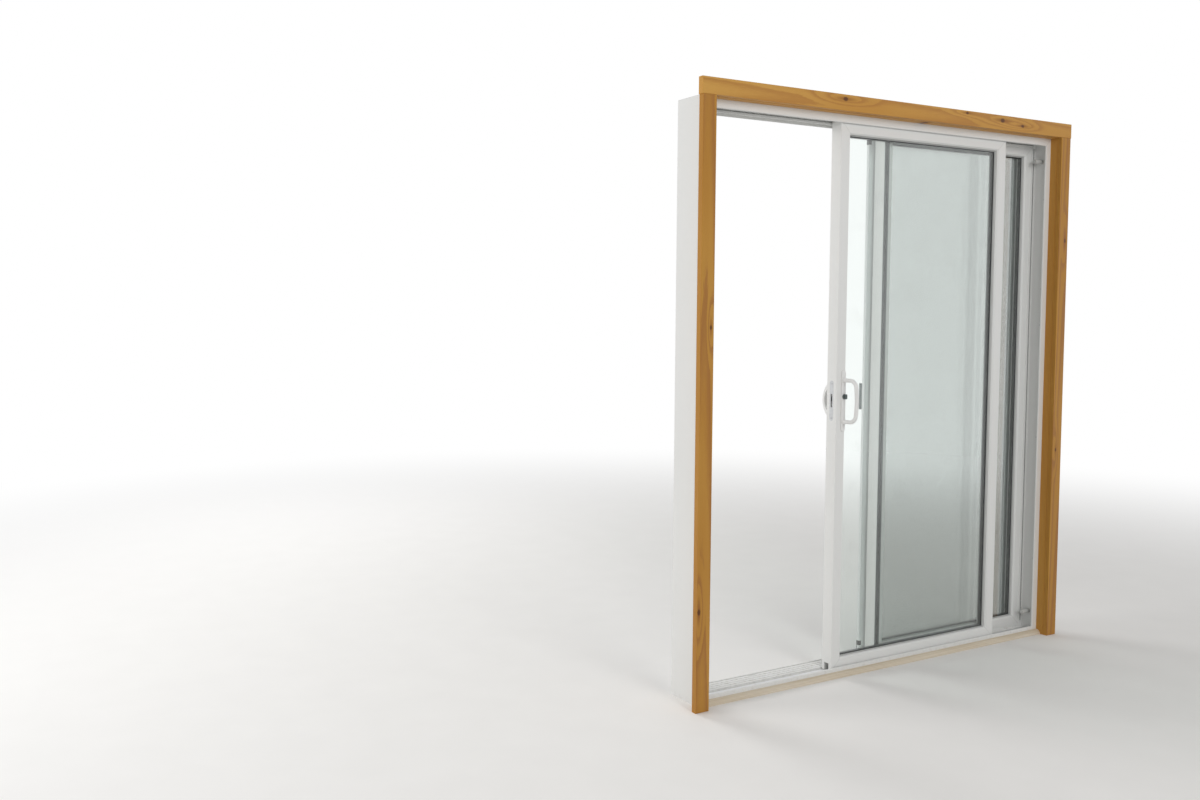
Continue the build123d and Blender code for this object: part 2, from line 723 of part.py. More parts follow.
# The screen's wheels stand in pockets of the bottom bar and run on the sill's fin.
screen_wheels = []
for x in (SCREEN_LEFT + SCREEN_WHEEL_INSET, SCREEN_RIGHT - SCREEN_WHEEL_INSET):
    room = SCREEN_WHEEL_R + SCREEN_WHEEL_CLEAR
    bar_bottom -= block(
        x - room,
        x + room,
        mesh_y - SCREEN_SLOT_W / 2,
        mesh_y + SCREEN_SLOT_W / 2,
        SCREEN_BOTTOM,
        SCREEN_WHEEL_Z + room,
    )
    bar_bottom -= pin(x, mesh_y, SCREEN_WHEEL_Z, SCREEN_AXLE_R + RUN_CLEAR, SCREEN_T)
    disc = pin(x, mesh_y, SCREEN_WHEEL_Z, SCREEN_WHEEL_R, SCREEN_WHEEL_W)
    screen_wheels.append(disc + pin(x, mesh_y, SCREEN_WHEEL_Z, SCREEN_AXLE_R, SCREEN_T))


def screen_corner(x, way, z, rise):
    """A plastic key: an elbow on the outdoor face and a block let into the stile's end."""
    elbow = [
        (x, z),
        (x + way * CORNER_L, z),
        (x + way * CORNER_L, z + rise * CORNER_W),
        (x + way * CORNER_W, z + rise * CORNER_W),
        (x + way * CORNER_W, z + rise * CORNER_L),
        (x, z + rise * CORNER_L),
    ]
    key = [
        (x, z + rise * SCREEN_BAR),
        (x + way * CORNER_W, z + rise * SCREEN_BAR),
        (x + way * CORNER_W, z + rise * CORNER_L),
        (x, z + rise * CORNER_L),
    ]
    lapped = facing_y(elbow, SCREEN_OUT, SCREEN_OUT + CORNER_PROUD)
    return lapped + facing_y(key, SCREEN_FACE, SCREEN_OUT)


corners = [
    screen_corner(x, way, z, rise)
    for x, way in ((SCREEN_LEFT, 1), (SCREEN_RIGHT, -1))
    for z, rise in ((SCREEN_BOTTOM, 1), (SCREEN_TOP, -1))
]
stile_left = screen_upright(SCREEN_LEFT, 1) - mesh
stile_right = screen_upright(SCREEN_RIGHT, -1) - mesh
for corner in corners[:2]:
    stile_left -= corner
for corner in corners[2:]:
    stile_right -= corner
save("screen_bottom_rail", bar_bottom - mesh)
save("screen_top_rail", bar_top - mesh)
save("screen_pull_stile", stile_left)
save("screen_far_stile", stile_right)
save("screen_mesh", mesh)
save("screen_corners", Compound(children=corners + screen_wheels))

# Screen handle: a moulded plate with a grip standing out of one edge, lipped for the fingers.
handle_left = SCREEN_LEFT + (SCREEN_BAR - SPLINE_IN - SPLINE_W / 2 - HANDLE_W) / 2
grip = [
    (handle_left, SCREEN_OUT),
    (handle_left, SCREEN_OUT + HANDLE_REACH),
    (handle_left + HANDLE_LIP, SCREEN_OUT + HANDLE_REACH),
    (handle_left + HANDLE_PLATE_T, SCREEN_OUT + HANDLE_PLATE_T),
    (handle_left + HANDLE_W, SCREEN_OUT + HANDLE_PLATE_T),
    (handle_left + HANDLE_W, SCREEN_OUT),
]
save("screen_handle", upright(grip, PULL_Z - HANDLE_H / 2, PULL_Z + HANDLE_H / 2))

# Timber: liner boards on the frame's room face, their front edges let into the casing's back.
LINER_FRONT = WALL_Y - CASING_RELIEF
liners = {
    "liner_left": block(-LINER_X - LINER_T, -LINER_X, LINER_FRONT, ROOM_Y, 0, LINER_Z),
    "liner_right": block(LINER_X, LINER_X + LINER_T, LINER_FRONT, ROOM_Y, 0, LINER_Z),
    "liner_head": block(
        -LINER_X - LINER_T, LINER_X + LINER_T, LINER_FRONT, ROOM_Y, LINER_Z, LINER_Z + LINER_T
    ),
}


def casing_board(x0, x1, z0, z1):
    board = block(x0, x1, WALL_Y - CASING_T, WALL_Y, z0, z1)
    front = board.faces().sort_by(Axis.Y)[0]
    board = fillet(front.edges(), CASING_EDGE_R)
    for liner in liners.values():
        board -= liner
    return board


for name, liner in liners.items():
    save(name, liner)
save("casing_left", casing_board(-OUTER_CASING_X, -CASING_X, 0, CASING_Z))
save("casing_right", casing_board(CASING_X, OUTER_CASING_X, 0, CASING_Z))
horn_x = OUTER_CASING_X + HEAD_HORN
save("casing_head", casing_board(-horn_x, horn_x, CASING_Z, CASING_Z + CASING_W))

# Quarter-round strip on the floor along the foot of the sill.
strip_arc = CenterArc((0, 0), STRIP_R, 90, 90)
strip_face = make_face(Curve() + [strip_arc, Line(strip_arc @ 1, (0, 0)), Line((0, 0), strip_arc @ 0)])
strip_plane = Plane(origin=(-LINER_X, ROOM_Y, 0), x_dir=(0, 1, 0), z_dir=(1, 0, 0))
save("floor_strip", extrude(strip_plane * strip_face, amount=2 * LINER_X))
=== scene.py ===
import math
import random

import bmesh
import bpy
from mathutils import Matrix, Vector


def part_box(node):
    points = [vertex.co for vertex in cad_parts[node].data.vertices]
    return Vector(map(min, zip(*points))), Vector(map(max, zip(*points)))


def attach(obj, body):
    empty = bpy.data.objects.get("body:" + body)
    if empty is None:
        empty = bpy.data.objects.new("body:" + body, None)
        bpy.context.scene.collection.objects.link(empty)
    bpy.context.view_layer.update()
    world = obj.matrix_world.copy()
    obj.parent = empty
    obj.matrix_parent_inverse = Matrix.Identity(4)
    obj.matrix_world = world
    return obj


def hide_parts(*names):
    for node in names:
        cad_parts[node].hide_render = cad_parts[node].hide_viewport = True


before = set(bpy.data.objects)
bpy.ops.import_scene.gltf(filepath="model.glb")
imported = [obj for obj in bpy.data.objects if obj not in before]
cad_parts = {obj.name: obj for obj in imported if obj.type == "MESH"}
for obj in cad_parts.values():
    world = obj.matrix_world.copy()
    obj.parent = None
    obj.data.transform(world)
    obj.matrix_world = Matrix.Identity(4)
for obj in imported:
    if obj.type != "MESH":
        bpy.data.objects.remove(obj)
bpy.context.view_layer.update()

# The view is from indoors, left of the door and looking past it, as in the photograph. The
# lens window is shifted towards the door, so that its uprights stay upright and it keeps
# the wide view's proportions.
eye = Vector((-3.180, -2.744, 1.324))
turn_right = math.radians(27)
tilt_down = math.radians(3.1)
camera = bpy.data.objects.new("camera", bpy.data.cameras.new("camera"))
camera.data.sensor_width = 36
camera.data.lens = 31
camera.data.shift_x = 0.12
camera.data.shift_y = -0.025
camera.location = eye
camera.rotation_euler = (math.radians(90) - tilt_down, 0, -turn_right)
bpy.context.scene.collection.objects.link(camera)
bpy.context.scene.camera = camera
bpy.context.scene.view_settings.view_transform = "Standard"


# The studio is a pale floor that fades into a white surround, with soft lamps: broad even
# light indoors and a stronger one outdoors, as daylight is. The floor is the first thing
# here with a material, so the two classes that write materials come with it.
class Wire:
    """A node's socket, on which Python's arithmetic adds Math nodes."""

    def __init__(self, tree, socket):
        self.tree = tree
        self.socket = socket

    def node(self, kind, settings=None, inputs=None, out=0):
        """Adds a node: its settings first, then its sockets' values or links."""
        made = self.tree.nodes.new(kind)
        for name, value in (settings or {}).items():
            setattr(made, name, value)
        for name, value in (inputs or {}).items():
            if isinstance(value, Wire):
                self.tree.links.new(value.socket, made.inputs[name])
            else:
                made.inputs[name].default_value = value
        return Wire(self.tree, made.outputs[out])

    def maths(self, operation, *values):
        return self.node("ShaderNodeMath", {"operation": operation}, dict(enumerate(values)))

    def __add__(self, other):
        return self.maths("ADD", self, other)

    def __radd__(self, other):
        return self.maths("ADD", other, self)

    def __sub__(self, other):
        return self.maths("SUBTRACT", self, other)

    def __rsub__(self, other):
        return self.maths("SUBTRACT", other, self)

    def __mul__(self, other):
        return self.maths("MULTIPLY", self, other)

    def __rmul__(self, other):
        return self.maths("MULTIPLY", other, self)

    def __truediv__(self, other):
        return self.maths("DIVIDE", self, other)

    def __pow__(self, other):
        return self.maths("POWER", self, other)

    def between(self, low, high):
        """0 below low, 1 above high and a soft slope between; falling where low is higher."""
        ends = {"Value": self, "From Min": low, "From Max": high}
        return self.node("ShaderNodeMapRange", {"interpolation_type": "SMOOTHSTEP"}, ends)

    def noise(self, scale, detail=2, roughness=0.5):
        """Noise from 0 to 1 read at this vector."""
        values = {"Vector": self, "Scale": scale, "Detail": detail, "Roughness": roughness}
        return self.node("ShaderNodeTexNoise", {}, values)

    def stretched(self, x, y, z):
        """This vector with its axes scaled."""
        return self.node("ShaderNodeVectorMath", {"operation": "MULTIPLY"}, {0: self, 1: (x, y, z)})

    def blend(self, first, second):
        """A colour between two, by this value."""
        colours = {0: self, 6: first, 7: second}
        return self.node("ShaderNodeMix", {"data_type": "RGBA"}, colours, 2)


class Finish:
    """A material: its shader, its place on the object in metres, and its three axes."""

    def __init__(self, name):
        self.material = bpy.data.materials.new(name)
        self.material.use_nodes = True
        self.tree = self.material.node_tree
        self.shader = self.tree.nodes["Principled BSDF"]
        self.output = self.tree.nodes["Material Output"]
        self.node = Wire(self.tree, None).node
        self.place = self.node("ShaderNodeTexCoord", out="Object")
        axes = (self.node("ShaderNodeSeparateXYZ", {}, {0: self.place}, k) for k in range(3))
        self.x, self.y, self.z = axes

    def set(self, **values):
        """Sets the shader's sockets; a name's underscores stand for its spaces."""
        for name, value in values.items():
            socket = self.shader.inputs[name.replace("_", " ")]
            if isinstance(value, Wire):
                self.tree.links.new(value.socket, socket)
            else:
                socket.default_value = value

    def bump(self, height, strength, distance):
        values = {"Height": height, "Strength": strength, "Distance": distance}
        self.set(Normal=self.node("ShaderNodeBump", {}, values))


surround_light = 0.48


def surround_glow(start):
    """The surround's strength: white where it is looked at, and dimmer as a light."""
    seen = start.node("ShaderNodeLightPath", out="Is Camera Ray")
    for ray in ("Is Glossy Ray", "Is Transmission Ray"):
        seen = seen.maths("MAXIMUM", seen, start.node("ShaderNodeLightPath", out=ray))
    return seen * (1 - surround_light) + surround_light


surround = bpy.data.worlds.new("surround")
bpy.context.scene.world = surround
surround.use_nodes = True
sky_glow = surround_glow(Wire(surround.node_tree, None))
backdrop = surround.node_tree.nodes["Background"]
backdrop.inputs["Color"].default_value = (1, 1, 1, 1)
surround.node_tree.links.new(sky_glow.socket, backdrop.inputs["Strength"])

floor_reach = 14
fade_start = 1.6
fade_end = 6.5
floor_mesh = bpy.data.meshes.new("studio_floor")
floor_shape = bmesh.new()
bmesh.ops.create_circle(floor_shape, cap_ends=True, segments=64, radius=floor_reach)
floor_shape.to_mesh(floor_mesh)
floor_shape.free()
floor = bpy.data.objects.new("studio_floor", floor_mesh)
bpy.context.scene.collection.objects.link(floor)
studio = Finish("studio_floor")
away = studio.node("ShaderNodeVectorMath", {"operation": "LENGTH"}, {0: studio.place}, 1)
faded = away.between(fade_start, fade_end)
speckle = studio.place.noise(6, 3).blend((0.83, 0.82, 0.8, 1), (0.87, 0.86, 0.84, 1))
studio.set(Base_Color=speckle, Roughness=0.7)
near_floor = Wire(studio.tree, studio.shader.outputs[0])
far_white = studio.node("ShaderNodeEmission", {}, {"Strength": surround_glow(studio.place)})
whole_floor = studio.node("ShaderNodeMixShader", {}, {0: faded, 1: near_floor, 2: far_white})
studio.tree.links.new(whole_floor.socket, studio.output.inputs[0])
studio.material.cycles.emission_sampling = "NONE"
floor_mesh.materials.append(studio.material)

lamp_size = 2.4
door_middle = Vector((0, 0, 1))


def lamp(name, place, watts):
    """A soft round lamp, turned to the middle of the door and never seen itself."""
    made = bpy.data.objects.new(name, bpy.data.lights.new(name, "AREA"))
    made.data.shape = "DISK"
    made.data.size = lamp_size
    made.data.energy = watts
    made.location = place
    made.rotation_euler = (door_middle - Vector(place)).to_track_quat("-Z", "Y").to_euler()
    made.visible_glossy = False
    made.visible_camera = False
    made.visible_transmission = False
    bpy.context.scene.collection.objects.link(made)


lamp("room_lamp", (-1.2, -4.8, 3.2), 74)
lamp("side_lamp", (-5.0, 1.6, 2.4), 70)
lamp("outdoor_lamp", (-1.6, 4.4, 3.2), 85)

# The frame is one white vinyl extrusion, sawn and welded at its top corners and let down
# over a sill of the same vinyl. Its surface keeps the die's faint lines along its length.
# The lines turn at a weld, whose bead has been planed off to a shallow groove painted darker as
# shade.
mm = 0.001


def dress(nodes, finish):
    """Gives CAD nodes a finish through their material slots."""
    for name in nodes:
        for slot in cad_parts[name].material_slots:
            slot.material = finish.material


def die_lines(finish, along):
    """The faint lines that a die leaves along what it draws."""
    scales = (3, 900, 900) if along == "x" else (900, 900, 3)
    return finish.place.stretched(*scales).noise(1, 3)


def vinyl(name, along=None, welded=None, dusty_below=0.0):
    """White vinyl drawn along an axis, or welded round a rectangle: left, right, low, high."""
    made = Finish(name)
    cloud = made.place.noise(2.2, 3)
    white = cloud.blend((0.765, 0.768, 0.750, 1), (0.805, 0.808, 0.795, 1))
    if welded:
        left, right, low, high = welded
        from_side = made.x.maths("MINIMUM", made.x - left, right - made.x)
        from_end = made.z.maths("MINIMUM", made.z - low, high - made.z)
        off_mitre = from_side - from_end
        turn = off_mitre.between(-0.2 * mm, 0.2 * mm)
        lines = turn * die_lines(made, "x") + (1 - turn) * die_lines(made, "z")
        groove = off_mitre.maths("ABSOLUTE", off_mitre).between(1.9 * mm, 0.3 * mm)
        # Painted shade: the weld groove's white is darkened as if shaded inside it.
        white = (0.35 * groove).blend(white, (0.40, 0.40, 0.38, 1))
    else:
        lines = die_lines(made, along)
        groove = 0.0
    dust = made.place.noise(75, 6, 0.7).between(0.45, 0.8)
    grime = dust * made.z.between(dusty_below + 25 * mm, dusty_below - 6 * mm) * 0.4
    made.set(Base_Color=grime.blend(white, (0.43, 0.39, 0.32, 1)))
    made.set(Roughness=0.33 + 0.07 * cloud + 0.05 * lines + 0.3 * grime + 0.1 * groove)
    made.bump(0.3 * lines - groove, 0.35, 0.15 * mm)
    return made


frame_outline = (-0.905, 0.905, -1.0, 2.045)
frame_vinyl = vinyl("frame_vinyl", welded=frame_outline)
cover_vinyl = vinyl("cover_vinyl", "z")
level_vinyl = vinyl("level_vinyl", "x")
sill_vinyl = vinyl("sill_vinyl", "x", dusty_below=24 * mm)
dress(("frame_jamb_left", "frame_jamb_right", "frame_head"), frame_vinyl)
dress(("jamb_cover",), cover_vinyl)
dress(("head_cover",), level_vinyl)
dress(("frame_sill", "sill_cover"), sill_vinyl)

# The roller rail is a mill-finish aluminium cap sprung over the sill's rib. The rollers
# have rubbed its top bright, and its sides stay dull.
aluminium = Finish("aluminium")
drawn = aluminium.place.stretched(4, 700, 700).noise(1, 4)
rubbed = aluminium.z.between(19.5 * mm, 21 * mm)
aluminium.set(Base_Color=drawn.blend((0.62, 0.63, 0.64, 1), (0.8, 0.8, 0.81, 1)), Metallic=1.0)
aluminium.set(Roughness=0.46 - 0.2 * rubbed + 0.12 * drawn)
aluminium.bump(drawn, 0.15, 0.1 * mm)
dress(("roller_rail",), aluminium)


# The casing and its liner are planed knotty pine under clear oil, nailed round the frame.
# The boards are flat sawn, so their rings run along them as flames and bend round knots.
def pine(name, along, pith, knots, painted_lighting=0.0):
    """A board's finish: along is its length's axis, pith the heart's place across it, and
    knots are their places along and across the board with their radii."""
    made = Finish(name)
    length, across = (made.x, made.z) if along == "x" else (made.z, made.x)
    pith_depth = 20 * mm
    ring_width = 5.5 * mm

    def grain(lengthwise, crosswise, detail):
        """Noise at one scale along the board and another across it."""
        scales = [crosswise] * 3
        scales["xyz".index(along)] = lengthwise
        return made.place.stretched(*scales).noise(1, detail)

    side = across - pith + 26 * mm * (grain(0.9, 14, 2) - 0.5)
    deep = made.y - pith_depth
    heart = (side * side + deep * deep) ** 0.5 + 0.006 * length
    rough_edge = made.place.noise(190, 3) - 0.5
    core = 0.0
    streak = 0.0
    for place, offset, radius in knots:
        ragged = 0.35 * radius * rough_edge
        far = (((length - place) / 1.6) ** 2 + (across - offset) ** 2) ** 0.5 + ragged
        trail = (((length - place) / 6.5) ** 2 + (across - offset) ** 2) ** 0.5 + ragged
        heart = heart + 1.3 * radius * (trail / (2.2 * radius)).between(1.8, 0.0)
        core = far.between(radius * 1.15, radius * 0.35) + core
        streak = trail.between(radius * 1.3, 0.0) + streak
    fibre = grain(25, 600, 3)
    growth = heart / ring_width + 0.35 * fibre
    season = growth.maths("FRACT", growth)
    late = season.between(0.35, 0.86) * season.between(1.0, 0.9)
    patch = grain(1.2, 9, 2).between(0.25, 0.75)
    # painted_lighting shifts the whole colour: below zero it is painted shade, above zero painted
    # light.
    light = (0.63 + painted_lighting, 0.345 + 0.7 * painted_lighting, 0.080 + 0.3 * painted_lighting, 1)
    honey = (0.54 + painted_lighting, 0.265 + 0.6 * painted_lighting, 0.050 + 0.2 * painted_lighting, 1)
    band = (0.38 + painted_lighting, 0.150 + 0.5 * painted_lighting, 0.028, 1)
    wood = (0.55 * late + 0.12 * fibre).blend(patch.blend(light, honey), band)
    wood = (0.75 * streak).blend(wood, (0.26, 0.092, 0.016, 1))
    wood = (0.92 * core.between(0.0, 0.9)).blend(wood, (0.105, 0.036, 0.010, 1))
    made.set(Base_Color=wood, Roughness=0.44 + 0.12 * fibre - 0.08 * late)
    made.set(Specular_IOR_Level=0.25, Coat_Weight=0.05, Coat_Roughness=0.3)
    made.bump(late * 0.4 + fibre, 0.25, 0.25 * mm)
    return made


head_knots = [
    (-0.316, 2.072, 9 * mm),
    (0.320, 2.079, 6 * mm),
    (0.524, 2.068, 10 * mm),
    (0.644, 2.056, 7 * mm),
]
left_knots = [(1.28, -0.905, 6 * mm), (0.34, -0.94, 8 * mm)]
right_knots = [(1.62, 0.93, 7 * mm), (0.77, 0.912, 6 * mm)]
# The legs and side liners are painted darker as shade, and the head's liner a little lighter as
# painted light.
dress(("casing_head",), pine("pine_head", "x", 2.050, head_knots))
dress(("casing_left",), pine("pine_left", "z", -0.93, left_knots, -0.09))
dress(("casing_right",), pine("pine_right", "z", 0.945, right_knots, -0.09))
dress(("liner_head",), pine("pine_liner_head", "x", 2.02, [(0.12, 2.03, 6 * mm)], 0.03))
dress(("liner_left",), pine("pine_liner_left", "z", -0.9, [(0.9, -0.9, 6 * mm)], -0.06))
dress(("liner_right",), pine("pine_liner_right", "z", 0.9, [(1.1, 0.9, 6 * mm)], -0.06))

# The quarter-round strip on the floor is a paler, unstained moulding with a satin lacquer.
# It covers the joint along the sill's foot.
strip = Finish("strip_lacquer")
strip_grain = strip.place.stretched(3, 260, 260).noise(1, 3)
strip_bands = strip_grain.between(0.3, 0.7)
strip.set(Base_Color=strip_bands.blend((0.70, 0.62, 0.50, 1), (0.60, 0.51, 0.38, 1)))
strip.set(Roughness=0.42 + 0.1 * strip_grain)
strip.bump(strip_grain, 0.2, 0.2 * mm)
dress(("floor_strip",), strip)

# Each leaf is a vinyl frame welded at its mitred corners round a sealed double-glazed
# unit: two clear panes held apart by a dark spacer bar all round.
slider_outline = (-0.272, 0.628, 0.017, 2.013)
fixed_outline = (0.006, 0.874, 0.017, 2.013)
slider_vinyl = vinyl("slider_vinyl", welded=slider_outline, dusty_below=20 * mm)
fixed_vinyl = vinyl("fixed_vinyl", welded=fixed_outline, dusty_below=20 * mm)
for leaf, finish in (("slider", slider_vinyl), ("fixed", fixed_vinyl)):
    dress((leaf + "_meeting_stile", leaf + "_top_rail", leaf + "_bottom_rail"), finish)
dress(("slider_lock_stile",), slider_vinyl)
dress(("fixed_jamb_stile",), fixed_vinyl)

glass = Finish("clear_glass")
glass.set(Base_Color=(0.965, 0.988, 0.978, 1), Roughness=0.0, IOR=1.5, Transmission_Weight=1.0)
solid_glass = Wire(glass.tree, glass.shader.outputs[0])
clear = glass.node("ShaderNodeBsdfTransparent", {}, {"Color": (0.955, 0.98, 0.97, 1)})
shade_ray = glass.node("ShaderNodeLightPath", out="Is Shadow Ray")
pane = glass.node("ShaderNodeMixShader", {}, {0: shade_ray, 1: solid_glass, 2: clear})
film = glass.node("ShaderNodeBsdfDiffuse", {}, {"Color": (0.8, 0.82, 0.8, 1)})
dusty = glass.place.noise(9, 5, 0.6).between(0.5, 0.85) * 0.03
soiled = glass.node("ShaderNodeMixShader", {}, {0: dusty, 1: pane, 2: film})
glass.tree.links.new(soiled.socket, glass.output.inputs[0])
dress(("slider_glass", "fixed_glass"), glass)

spacer = Finish("spacer_dark")
spacer_speck = spacer.place.noise(300, 2)
spacer.set(Base_Color=spacer_speck.blend((0.03, 0.035, 0.035, 1), (0.06, 0.068, 0.065, 1)))
spacer.set(Roughness=0.24 + 0.1 * spacer_speck)
dress(("slider_spacer", "fixed_spacer"), spacer)


# Both faces of a glass unit are held by pale grey lip seals. Each is pushed in between the
# bead and the pane, cut at the corners, and bulges a little along its free edge.
def piece(name, shape, finish, body, smooth=False):
    """Makes an object of a finished bmesh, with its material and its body."""
    bmesh.ops.remove_doubles(shape, verts=shape.verts, dist=1e-6)
    bmesh.ops.recalc_face_normals(shape, faces=shape.faces)
    for face in shape.faces:
        face.smooth = smooth
    mesh = bpy.data.meshes.new(name)
    shape.to_mesh(mesh)
    shape.free()
    mesh.materials.append(finish.material)
    made = bpy.data.objects.new(name, mesh)
    bpy.context.scene.collection.objects.link(made)
    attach(made, body)
    return made


def ring(shape, outline, section):
    """A bar round a rectangle, sharp at its mitres; its section is (distance in, depth)."""
    left, right, low, high = outline
    corners = []
    for side, inwards in ((left, 1), (right, -1)):
        ends = ((low, 1), (high, -1)) if inwards > 0 else ((high, -1), (low, 1))
        for end, upwards in ends:
            points = [(side + inwards * a, depth, end + upwards * a) for a, depth in section]
            corners.append([shape.verts.new(point) for point in points])
    for k, corner in enumerate(corners):
        following = corners[(k + 1) % 4]
        for j in range(len(section)):
            i = (j + 1) % len(section)
            shape.faces.new((corner[j], corner[i], following[i], following[j]))
    for corner in corners:
        for j in range(len(section)):
            shape.edges.get((corner[j], corner[(j + 1) % len(section)])).smooth = False


seal_grey = Finish("seal_grey")
seal_grain = seal_grey.place.noise(800, 2)
seal_grey.set(Base_Color=seal_grain.blend((0.40, 0.41, 0.40, 1), (0.48, 0.49, 0.48, 1)))
seal_grey.set(Roughness=0.4 + 0.2 * seal_grain)
seal_grey.bump(seal_grain, 0.1, 0.1 * mm)
seal_section = [
    (0, 0), (4.2, 0), (4.3, 0.4), (3.9, 0.9),
    (2.6, 1.5), (1.4, 2.1), (0.6, 2.7), (0, 2.9),
]
bar_width = 47 * mm
for leaf, body, outline, face in (
    ("slider", "slider", slider_outline, -57 * mm),
    ("fixed", "frame", fixed_outline, -3 * mm),
):
    left, right, low, high = outline
    sight = (left + bar_width, right - bar_width, low + bar_width, high - bar_width)
    for side, pane_face, way in (("room", 14 * mm, -1), ("outdoor", 34 * mm, 1)):
        section = [(a * mm, face + pane_face + way * b * mm) for a, b in seal_section]
        shape = bmesh.new()
        ring(shape, sight, section)
        piece(leaf + "_" + side + "_seal", shape, seal_grey, body, smooth=True)

# The meeting stiles carry charcoal interlock strips, drawn like the frame. The channel of
# each holds a strip of wool pile, which shuts the gap between the leaves.
interlock = Finish("interlock_charcoal")
interlock_lines = die_lines(interlock, "z")
interlock.set(Base_Color=interlock_lines.blend((0.050, 0.058, 0.062, 1), (0.075, 0.085, 0.090, 1)))
interlock.set(Roughness=0.36 + 0.12 * interlock_lines)
interlock.bump(interlock_lines, 0.12, 0.1 * mm)
dress(("slider_interlock", "fixed_interlock"), interlock)


def wool(name, dark, pale):
    """Wool fibre that varies from tuft to tuft between two shades."""
    made = Finish(name)
    speck = made.place.noise(1400, 2)
    made.set(Base_Color=speck.blend(dark, pale), Roughness=0.9, Sheen_Weight=0.3)
    return made


def pile(name, finish, body, slot, along, low, high, across, foot, way, rows, height):
    """Tufts standing along Y on a strip, in one stretch that is repeated along its length."""
    seeded = random.Random(name)
    pitch = 0.8 * mm
    tufts_in_row = 50
    repeats = round((high - low) / (tufts_in_row * pitch))
    stretch = (high - low) / repeats
    shape = bmesh.new()
    for k in range(tufts_in_row * rows):
        tall = height * seeded.uniform(0.88, 1.0)
        root = Vector((0, foot + way * (tall / 2 - 0.1 * mm), 0))
        root[along] = low + (k // rows + seeded.random()) * stretch / tufts_in_row
        root[2 - along] = across + (k % rows - (rows - 1) / 2 + seeded.uniform(-0.3, 0.3)) * pitch
        lean = Matrix.Rotation(seeded.uniform(-0.12, 0.12), 4, "Z")
        upright = Matrix.Rotation(math.radians(-90 * way), 4, "X")
        bmesh.ops.create_cone(
            shape,
            cap_ends=False,
            segments=3,
            radius1=0.42 * mm,
            radius2=0.14 * mm,
            depth=tall,
            matrix=Matrix.Translation(root) @ lean @ upright,
        )
    made = piece(name, shape, finish, body)
    again = made.modifiers.new("again", "ARRAY")
    again.count = repeats
    again.use_relative_offset = False
    again.use_constant_offset = True
    step = Vector()
    step[along] = stretch
    again.constant_offset_displace = step


dark_wool = wool("dark_wool", (0.030, 0.033, 0.035, 1), (0.075, 0.080, 0.082, 1))
for leaf, body, across, foot, way in (
    ("fixed", "frame", 18.5 * mm, -4 * mm, -1),
    ("slider", "slider", 0.6155, -11 * mm, 1),
):
    run = (2, 42 * mm, 1.988, across)
    pile(leaf + "_pile", dark_wool, body, "interlock_charcoal", *run, foot, way, 6, 3 * mm)

# Paler pile lines the legs of the frame's track on both sides of the sliding leaf. It is
# slid as a strip into the head and up both jambs.
pale_wool = wool("pale_wool", (0.30, 0.30, 0.29, 1), (0.46, 0.46, 0.45, 1))
for side, foot, way in (("room", -62 * mm, 1), ("outdoor", -7 * mm, -1)):
    for member, *run in (
        ("head", 0, -0.868, 0.868, 2.0115),
        ("left", 2, 40 * mm, 1.998, -0.8715),
        ("right", 2, 40 * mm, 1.998, 0.8715),
    ):
        name = member + "_pile_" + side
        pile(name, pale_wool, "frame", "vinyl_white", *run, foot, way, 3, 4 * mm)

# Zinc-plated steel makes the roller carriages and wheels, the lock's faceplate and keeper.
# They are pressed and turned before plating, and the zinc has dulled in blotches.
steel = Finish("zinc_steel")
blotch = steel.place.noise(160, 4)
rubbing = steel.place.stretched(900, 900, 30).noise(1, 2)
steel.set(Base_Color=blotch.blend((0.52, 0.53, 0.54, 1), (0.70, 0.71, 0.72, 1)), Metallic=1.0)
steel.set(Roughness=0.32 + 0.15 * blotch)
steel.bump(rubbing, 0.12, 0.1 * mm)
dress(("roller_carriages", "roller_wheels", "lock_faceplate", "lock_keeper"), steel)

# The handle set is moulded in white plastic, semi-gloss, smoother where hands rub it. Its
# slim plate is screwed to the lock stile, with a bowed pull indoors and another outdoors.
moulded = Finish("handle_white")
orange_peel = moulded.place.noise(900, 2)
worn = moulded.place.noise(45, 3)
moulded.set(Base_Color=worn.blend((0.80, 0.80, 0.785, 1), (0.84, 0.84, 0.83, 1)))
moulded.set(Roughness=0.24 + 0.12 * worn)
moulded.bump(orange_peel, 0.08, 0.1 * mm)
dress(("pull_plate", "pull_inner", "pull_outer"), moulded)


# Each screw has a low domed head with a cross recess, pressed in before it was plated. White
# painted ones hold the pull, and plain ones the lock, its keeper, the stops and the frame.
def screw(shape, place, facing, radius, turned):
    """A screw head standing on a surface, its cross turned as the screwdriver left it."""
    top = bmesh.ops.create_grid(shape, x_segments=5, y_segments=5, size=1)["verts"]
    cross = []
    for face in {face for vert in top for face in vert.link_faces}:
        middle = face.calc_center_median()
        if abs(middle.x) + abs(middle.y) < 0.5:
            cross.append(face)
    rim = list({edge for vert in top for edge in vert.link_edges if edge.is_boundary})
    grown = bmesh.ops.extrude_face_region(shape, geom=cross)["geom"]
    recess = [part for part in grown if isinstance(part, bmesh.types.BMVert)]
    grown = bmesh.ops.extrude_edge_only(shape, edges=rim)["geom"]
    foot = [part for part in grown if isinstance(part, bmesh.types.BMVert)]
    stand = Vector(facing).to_track_quat("Z", "Y").to_matrix().to_4x4()
    stand = Matrix.Translation(place) @ stand @ Matrix.Rotation(turned, 4, "Z")
    slimness = 1.35
    rim_height = 0.16
    crown = 0.26
    for verts, kept_height, sunk in ((top, 1.0, 0.0), (recess, 0.15, 0.0), (foot, 0.0, 0.02)):
        for vert in verts:
            u, v = (math.copysign(abs(a) ** slimness, a) for a in vert.co.xy)
            across = u * math.sqrt(1 - v * v / 2)
            up = v * math.sqrt(1 - u * u / 2)
            dome = rim_height + crown * (1 - across * across - up * up)
            rise = dome * kept_height - sunk
            vert.co = stand @ Vector((across * radius, up * radius, rise * radius))


def screws(name, finish, body, radius, facing, places):
    seeded = random.Random(name)
    shape = bmesh.new()
    for place in places:
        screw(shape, place, facing, radius, seeded.uniform(0, 1.5))
    piece(name, shape, finish, body)


